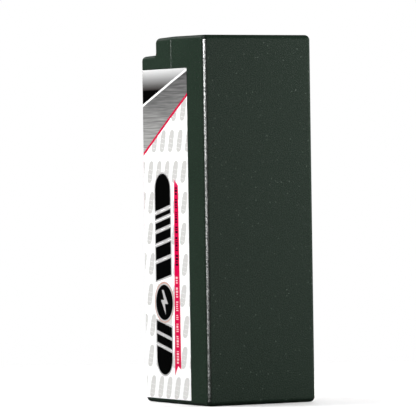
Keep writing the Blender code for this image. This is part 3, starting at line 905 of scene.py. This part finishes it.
def make_label():
    verts, sheets = label_sheets()
    for (node, body), sheet in zip(LABEL_PIECES, sheets):
        shape = bmesh.new()
        used = sorted({i for triangle, _ in sheet for i in triangle})
        front = {i: shape.verts.new(wrapped(*verts[i], 0.0)) for i in used}
        back = {i: shape.verts.new(wrapped(*verts[i], FILM)) for i in used}
        for triangle, ink in sheet:
            shape.faces.new([front[i] for i in triangle]).material_index = ink
            shape.faces.new([back[i] for i in reversed(triangle)])
        rim = [(e.verts[:], e.link_faces[0].material_index) for e in shape.edges if e.is_boundary]
        index = {vert: i for i, vert in front.items()}
        for (a, b), ink in rim:
            if a in index:
                shape.faces.new((a, b, back[index[b]], back[index[a]])).material_index = ink
        piece(f"{node}_film", drafted(shape), list(PRINT.values()), body, "label", node)


# ---- cells and what joins them


def box_mm(node):
    low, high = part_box(node)
    return low / MM, high / MM


def cell_ring(half_x, half_y, radius, centre_y, z):
    """A rounded rectangle with points spread along its flats too."""
    radius = max(0.05, min(radius, half_y * 0.98))
    flat_x, flat_y = half_x - radius, half_y - radius
    ring = []
    for quarter in range(4):
        sign_x = 1 if quarter in (0, 3) else -1
        sign_y = 1 if quarter < 2 else -1
        ring += arc((sign_x * flat_x, centre_y + sign_y * flat_y), radius, 90 * quarter, 90 * quarter + 90, 5)
        if quarter in (0, 2):
            start, end = ring[-1], (-ring[-1][0], ring[-1][1])
            ring += [(start[0] + (end[0] - start[0]) * i / 18, start[1]) for i in range(1, 18)]
    return [(x, y, z) for x, y in ring]


def wobble(*place):
    """Smooth noise from 0 to 1."""
    return 0.5 + 0.5 * noise.noise(Vector(place))


def pouch_body(index, low, high, shoulder):
    """The cell's drawn body, puckered under its shoulder, and the flat seal above it."""
    centre_y = (low.y + high.y) / 2
    half_x, half_y, base = high.x - 0.5, (high.y - low.y) / 2 - 0.1, low.z
    corner, seal, seal_half = 1.5, shoulder + 3.2, 0.2
    heights = [base + corner * (1 - cos(pi / 2 * i / 5)) for i in range(6)]
    heights += [base + corner + (shoulder - base - corner) * i / 34 for i in range(1, 35)]
    heights += [shoulder + (seal - shoulder) * i / 7 for i in range(1, 8)] + [seal + 1.5, high.z]
    rings = []
    for z in heights:
        end = max(0.0, 1 - (z - base) / corner)
        thick = half_y - corner * (1 - sqrt(max(0.0, 1 - end * end)))
        share = min(1.0, max(0.0, (z - shoulder) / (seal - shoulder)))
        soft = share * share * (3 - 2 * share)
        thick += (seal_half - thick) * soft
        ring = []
        for x, y, _ in cell_ring(half_x - 0.7 * soft - 0.4 * end, thick, corner, centre_y, z):
            pucker = 0.22 * exp(-abs(z - shoulder) / 5) * wobble(x * 0.55, index * 7.0, z * 0.12)
            dent = 0.14 * wobble(x * 0.09, index * 3.0 + (y > centre_y), z * 0.07)
            pull = (pucker + dent) * (1 - soft)
            y -= pull if y > centre_y + 1 else -pull if y < centre_y - 1 else 0.0
            ring.append((x, y, z))
        rings.append(ring)
    return rings


def pouch_cell(index):
    """A pouch cell: its body, and the side seals folded up against it."""
    low, high = box_mm(f"cell_{index}")
    shoulder = low.z + 105.0
    shape = bmesh.new()
    skin(shape, pouch_body(index, low, high, shoulder))
    for side in (-1, 1):
        rows = []
        for i in range(41):
            z = low.z + 2.0 + (shoulder - low.z - 3.5) * i / 40
            wave = 0.09 * noise.noise(Vector((side * 5.0, index * 2.0, z * 0.22)))
            x = side * (high.x - 0.32 + wave)
            y = (low.y + high.y) / 2 + 0.3 * noise.noise(Vector((index * 4.0, side, z * 0.1)))
            outline = rounded_rectangle((x - 0.11, y - 4.0), (x + 0.11, y + 3.9), 0.08, 2)
            rows.append([(*p, z) for p in outline])
        skin(shape, rows)
    piece(f"cell_{index}_pouch", shape, FOIL, "pack", "pouch", f"cell_{index}", degrees=50)


def rounded_path(path, radius, steps=5):
    """The path with each inner corner replaced by a curve."""
    result = [Vector(path[0])]
    for before, here, after in zip(path, path[1:], path[2:]):
        before, here, after = Vector(before), Vector(here), Vector(after)
        reach = min(radius, (here - before).length / 2, (after - here).length / 2)
        start = here + (before - here).normalized() * reach
        end = here + (after - here).normalized() * reach
        for i in range(steps + 1):
            t = i / steps
            result.append(start * (1 - t) ** 2 + here * 2 * t * (1 - t) + end * t * t)
    result.append(Vector(path[-1]))
    return result


def ribbon(path, thick):
    """The outline of a strip of even thickness that follows the path."""
    left, right = [], []
    for i, here in enumerate(path):
        before = path[max(0, i - 1)]
        after = path[min(len(path) - 1, i + 1)]
        along = (after - before).normalized()
        across = Vector((-along.y, along.x)) * thick / 2
        left.append(here + across)
        right.append(here - across)
    return [tuple(p) for p in left + right[::-1]]


def make_tabs():
    """Each tab leaves its cell in a collar of sealing film, goes up through the board and lies flat on it."""
    thick, into_seal = 0.22, 1.5
    poles = (("positive", "tab_aluminium", ALUMINIUM), ("negative", "tab_nickel", NICKEL))
    for index in range(1, 5):
        cell_low, cell_high = box_mm(f"cell_{index}")
        y, z = (cell_low.y + cell_high.y) / 2, cell_high.z
        for pole, slot, look in poles:
            node = f"{pole}_tab_{index}"
            low, high = box_mm(node)
            slot_y = low.y + 4.4 if high.z > BOARD_TOP else low.y
            fold_z = high.z - 0.2
            path = [(y, z - into_seal), (y, z + 1.2), (slot_y, 121.7), (slot_y, fold_z)]
            path.append((low.y + 0.15, fold_z))
            strip = prism(bmesh.new(), ribbon(rounded_path(path, 0.7), thick), "X", low.x, high.x)
            piece(f"{node}_strip", strip, look, "pack", slot, node)
            seal_low, seal_high = (low.x - 1.2, y - 0.3, z - 0.2), (high.x + 1.2, y + 0.3, z + 0.9)
            seal = soft_block(bmesh.new(), seal_low, seal_high, 0.2)
            piece(f"{node}_seal", seal, ADHESIVE, "pack", "adhesive")


def make_foam():
    """Pads whose broad faces ripple, cut into a grid so that they can."""
    cuts = 28
    for node in ("belly_foam_pad", "top_foam_pad", "end_foam_pad"):
        low, high = box_mm(node)
        thin = min(range(3), key=lambda i: high[i] - low[i])
        shape = soft_block(bmesh.new(), low, high, 0.42)
        for axis in [i for i in range(3) if i != thin]:
            across = Vector([1.0 if i == axis else 0.0 for i in range(3)])
            for i in range(1, cuts):
                sliced(shape, low.lerp(high, i / cuts), across, 1e-5)
        centre = (low[thin] + high[thin]) / 2
        for vert in shape.verts:
            share = 1 - 0.3 * wobble(*(vert.co * 0.16))
            vert.co[thin] = centre + (vert.co[thin] - centre) * share
        piece(f"{node}_sheet", shape, FOAM, "pack", "foam", node, degrees=60)


def make_straps():
    """Tape drawn tight round the four cells, with its end stuck down over the start."""
    thick = 0.08
    for number in (1, 2):
        node = f"stack_strap_{number}"
        low, high = box_mm(node)
        outlines = []
        for inset in (0.0, thick):
            x, y = high.x - 0.38 - inset, high.y - 0.42 - inset
            outlines.append(rounded_rectangle((low.x + high.x - x, low.y + high.y - y), (x, y), 1.68 - inset))
        outer, inner = outlines
        shape = bmesh.new()
        rows = []
        for outline, z in ((outer, low.z), (outer, high.z), (inner, high.z), (inner, low.z)):
            rows.append([shape.verts.new((x, y, z)) for x, y in outline])
        for near, far in zip(rows, rows[1:] + rows[:1]):
            join(shape, near, far)
        y = low.y + 0.42
        block(shape, (-14.0, y - thick, low.z + 0.1), (high.x - 3.0, y - 0.01, high.z - 0.05))
        piece(f"{node}_tape", shape, TAPE, "pack", "polyimide", node)


def socket_profile():
    """A bullet socket, rounded below and grooved outside, with a waist in its bore that grips the plug."""
    radius, bore, low, top = SOCKET_RADIUS, SOCKET_BORE, 119.0, COLLAR_TOP
    outside = [(radius - 0.5, low), *arc((radius - 0.5, low + 0.5), 0.5, 270, 360, 4), (radius, low + 4.4)]
    outside += [(radius - 0.18, low + 4.6), (radius - 0.18, low + 5.0), (radius, low + 5.2)]
    lip = [(radius, top - 0.12), (radius - 0.1, top), (bore + 0.28, top), (bore, top - 0.3)]
    waist = [(bore, top - 3.2), (bore - 0.14, top - 4.2), (bore - 0.14, top - 5.4), (bore, top - 6.4)]
    return [(0, low), *outside, *lip, *waist, (bore, low + 2.6), (bore - 0.4, low + 2.1), (0, low + 2.0)]


def collar_profile():
    """A collar in the ledge's opening, with a rounded flange on top of the ledge."""
    inside, flange, top = SOCKET_RADIUS + 0.08, FLANGE_RADIUS, COLLAR_TOP
    low, seat, round_by = LEDGE_Z - WALL - 1, LEDGE_Z - 0.05, 0.4
    profile = [(inside, low), (COLLAR_RADIUS, low), (COLLAR_RADIUS, seat), (flange - 0.12, seat)]
    profile += [(flange, LEDGE_Z + 0.08), *arc((flange - round_by, top - round_by), round_by, 0, 90, 5)]
    return profile + [(inside + 0.45, top), (inside + 0.1, top - 0.35), (inside, top - 0.6)]


def make_sockets():
    poles = (("positive", -1, "collar_red", RED), ("negative", 1, "collar_black", BLACK))
    for pole, side, slot, look in poles:
        at = (side * SOCKET_X, PORT_Y, -0.42)
        tube, ring = moved(turned(socket_profile()), at), moved(turned(collar_profile()), at)
        piece(f"{pole}_socket_tube", tube, GOLD, "pack", "gold", f"{pole}_socket", degrees=40)
        piece(f"{pole}_collar_ring", ring, look, "pack", slot, f"{pole}_collar", degrees=40)


def make_header():
    """The balance header's shroud: soft outer edges, raised feet round its pins, and notches in its walls."""
    low, high = box_mm("balance_header")
    middle, over = (low.y + high.y) / 2, high.z + 1
    shroud = soft_block(bmesh.new(), low, high, 0.18, 2)
    wall, floor = 0.75, low.z + 1.4
    hollow = block(bmesh.new(), (low.x + wall, low.y + wall, floor), (high.x - wall, high.y - wall, over))
    cuts = bmesh.new()
    for x in (-4.2, 4.2):
        block(cuts, (x - 0.8, high.y - 1.5 * wall, floor + 1.0), (x + 0.8, high.y + 1, over))
    for side in (-1, 1):
        x0, x1 = sorted((side * (high.x - 1.5 * wall), side * (high.x + 1)))
        block(cuts, (x0, middle - 0.5, floor + 3.2), (x1, middle + 0.5, over))
    feet, half = bmesh.new(), 0.55
    for number in range(-2, 3):
        x = number * 2.5
        block(feet, (x - half, middle - half, floor - 0.3), (x + half, middle + half, floor + 0.25))
    steps = [("DIFFERENCE", hollow), ("DIFFERENCE", cuts), ("UNION", feet)]
    piece("balance_header_shroud", carved(shroud, steps), NYLON, "pack", "nylon", "balance_header")


def soften(node, look, width=0.12, steps=2):
    """A carried-over CAD node: its own shape, with its edges eased and its own material."""
    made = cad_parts[node]
    made.data.materials.clear()
    made.data.materials.append(look)
    step = made.modifiers.new("Eased edges", "BEVEL")
    step.width = width * MM
    step.segments = steps
    step.limit_method = "ANGLE"
    step.angle_limit = radians(40)
    step.harden_normals = True


def dress_carried_nodes():
    for node in ("series_link_1", "series_link_2", "series_link_3", "positive_bus_bar", "negative_bus_bar"):
        soften(node, COPPER, 0.16)
    for number in range(1, 6):
        soften(f"balance_pin_{number}", TIN, 0.05, 1)
    for number in range(1, 4):
        soften(f"adhesive_sheet_{number}", ADHESIVE, 0.08, 1)
    soften("tab_board", BOARD, 0.1, 1)
    soften("end_insulator", FISH_PAPER, 0.1, 1)


# ---- studio


CAMERA_AZIMUTH = 29.656
CAMERA_FAR = 1.5  # metres, as is everything in the studio
CAMERA_HIGH = 0.08757
CAMERA_ROLL = 0.01467
CAMERA_PITCH = -0.0095655
CAMERA_YAW = 0.0048036
FOCAL_SHARE = 9.534  # of the sensor's width
AMBIENT = 0.25
DARK_ROOM = 0.015
REFLECTED_PATCHES = (  # azimuth, elevation, half width, level
    (-22, 0, 34, 0.33),
    (151, 0, 30, 0.04),
    (95, 50, 28, 0.8),
    (140, 68, 22, 0.8),
    (176, 27, 18, 0.45),
    (-90, 14, 28, 0.5),
)


def outward(azimuth, elevation):
    """The direction at these degrees, with azimuth 0 straight out from the belly and 90 towards -X."""
    turn, tilt = radians(azimuth), radians(elevation)
    return Vector((-sin(turn) * cos(tilt), -cos(turn) * cos(tilt), sin(tilt)))


def area_light(name, azimuth, elevation, distance, size, power, aim, shows_in):
    """A soft box aimed at the pack, for its shading or for its reflections only."""
    light = bpy.data.lights.new(name, "AREA")
    light.shape = "RECTANGLE"
    light.size, light.size_y = size
    light.energy = power
    made = placed(name, light)
    out = outward(azimuth, elevation)
    made.location = Vector(aim) + out * distance
    made.rotation_euler = (-out).to_track_quat("-Z", "Y").to_euler()
    made.visible_camera = False
    made.visible_diffuse = shows_in == "shading"
    made.visible_glossy = shows_in == "reflections"


def make_floor():
    """A pale floor that fades into the pale backdrop away from the pack."""
    shape = bmesh.new()
    bmesh.ops.create_circle(shape, cap_ends=True, cap_tris=False, segments=96, radius=2.4)
    floor = as_object("floor", shape)
    look = Look("floor_pale", roughness=0.9)
    pale = look.mix(look.span(look.noise(60.0), 0.3, 0.7), srgb(246), srgb(249))
    path = look.node("LightPath")
    unseen = look.mix(path.outputs["Is Diffuse Ray"], srgb(44), srgb(130))
    look.set("Base Color", look.mix(path.outputs["Is Camera Ray"], unseen, pale))
    far = look.node("VectorMath", {0: look.where}, operation="LENGTH").outputs["Value"]
    look.set("Alpha", look.span(far, 0.06, 0.32, 1.0, 0.0))
    floor.data.materials.append(look.mat)


def make_world():
    """White to the camera, dim and even to surfaces, and a dark room with pale patches to reflections."""
    world = bpy.data.worlds.new("studio")
    bpy.context.scene.world = world
    world.use_nodes = True
    nodes = Nodes(world.node_tree, "Background", "Generated")
    reflected = DARK_ROOM
    for azimuth, elevation, width, level in REFLECTED_PATCHES:
        feeds = {0: nodes.where, 1: outward(azimuth, elevation)}
        toward = nodes.node("VectorMath", feeds, operation="DOT_PRODUCT")
        edge, full = (cos(radians(angle)) for angle in (width, width * 0.3))
        patch = nodes.span(toward.outputs["Value"], edge, full, 0.0, level)
        reflected = nodes.math("ADD", patch, reflected)
    path = nodes.node("LightPath")
    level = nodes.span(path.outputs["Is Glossy Ray"], 0.0, 1.0, AMBIENT, reflected)
    level = nodes.span(path.outputs["Is Camera Ray"], 0.0, 1.0, level, 1.0)
    nodes.set("Color", (1, 1, 1, 1))
    nodes.set("Strength", level)


def make_camera():
    lens = bpy.data.cameras.new("camera")
    lens.sensor_width = 36.0
    lens.lens = FOCAL_SHARE * lens.sensor_width
    lens.clip_end = 50
    camera = placed("camera", lens)
    turn = radians(CAMERA_AZIMUTH)
    camera.location = (-sin(turn) * CAMERA_FAR, -cos(turn) * CAMERA_FAR, CAMERA_HIGH)
    level = Matrix.Rotation(-turn, 4, "Z") @ Matrix.Rotation(pi / 2, 4, "X")
    rolled = level @ Matrix.Rotation(-CAMERA_ROLL, 4, "Z")
    aimed = rolled @ Matrix.Rotation(CAMERA_PITCH, 4, "X") @ Matrix.Rotation(CAMERA_YAW, 4, "Y")
    camera.rotation_euler = aimed.to_euler()
    bpy.context.scene.camera = camera


def make_studio():
    """Soft lights for the shading, and a column of them for the glint down the belly's left edge."""
    make_floor()
    make_world()
    make_camera()
    area_light("front", -58, 18, 0.36, (0.25, 0.25), 1.6, (0, 0, 0.075), "shading")
    area_light("left", 128, 22, 0.45, (0.3, 0.25), 3.25, (0, 0, 0.09), "shading")
    edge = (-WIDTH / 2 * MM, -DEPTH / 2 * MM)
    for name, distance, size, power, height in (
        ("edge_low", 0.5, (0.29, 0.36), 2.35, 0.05),
        ("edge_middle", 0.51, (0.29, 0.085), 0.18, 0.0925),
        ("edge_high", 0.5, (0.28, 0.1), 3.35, 0.185),
    ):
        area_light(name, 66.2, 0, distance, size, power, (*edge, height), "reflections")
    area_light("back", 215, 40, 1.4, (0.9, 0.9), 9.0, (0, 0, LENGTH / 2 * MM), "shading")
    view = bpy.context.scene.view_settings
    view.view_transform = "Standard"
    view.look = "None"
    view.exposure = 0.0


make_shells()
make_label()
for number in range(1, 5):
    pouch_cell(number)
make_tabs()
make_foam()
make_straps()
make_sockets()
make_header()
dress_carried_nodes()
make_studio()
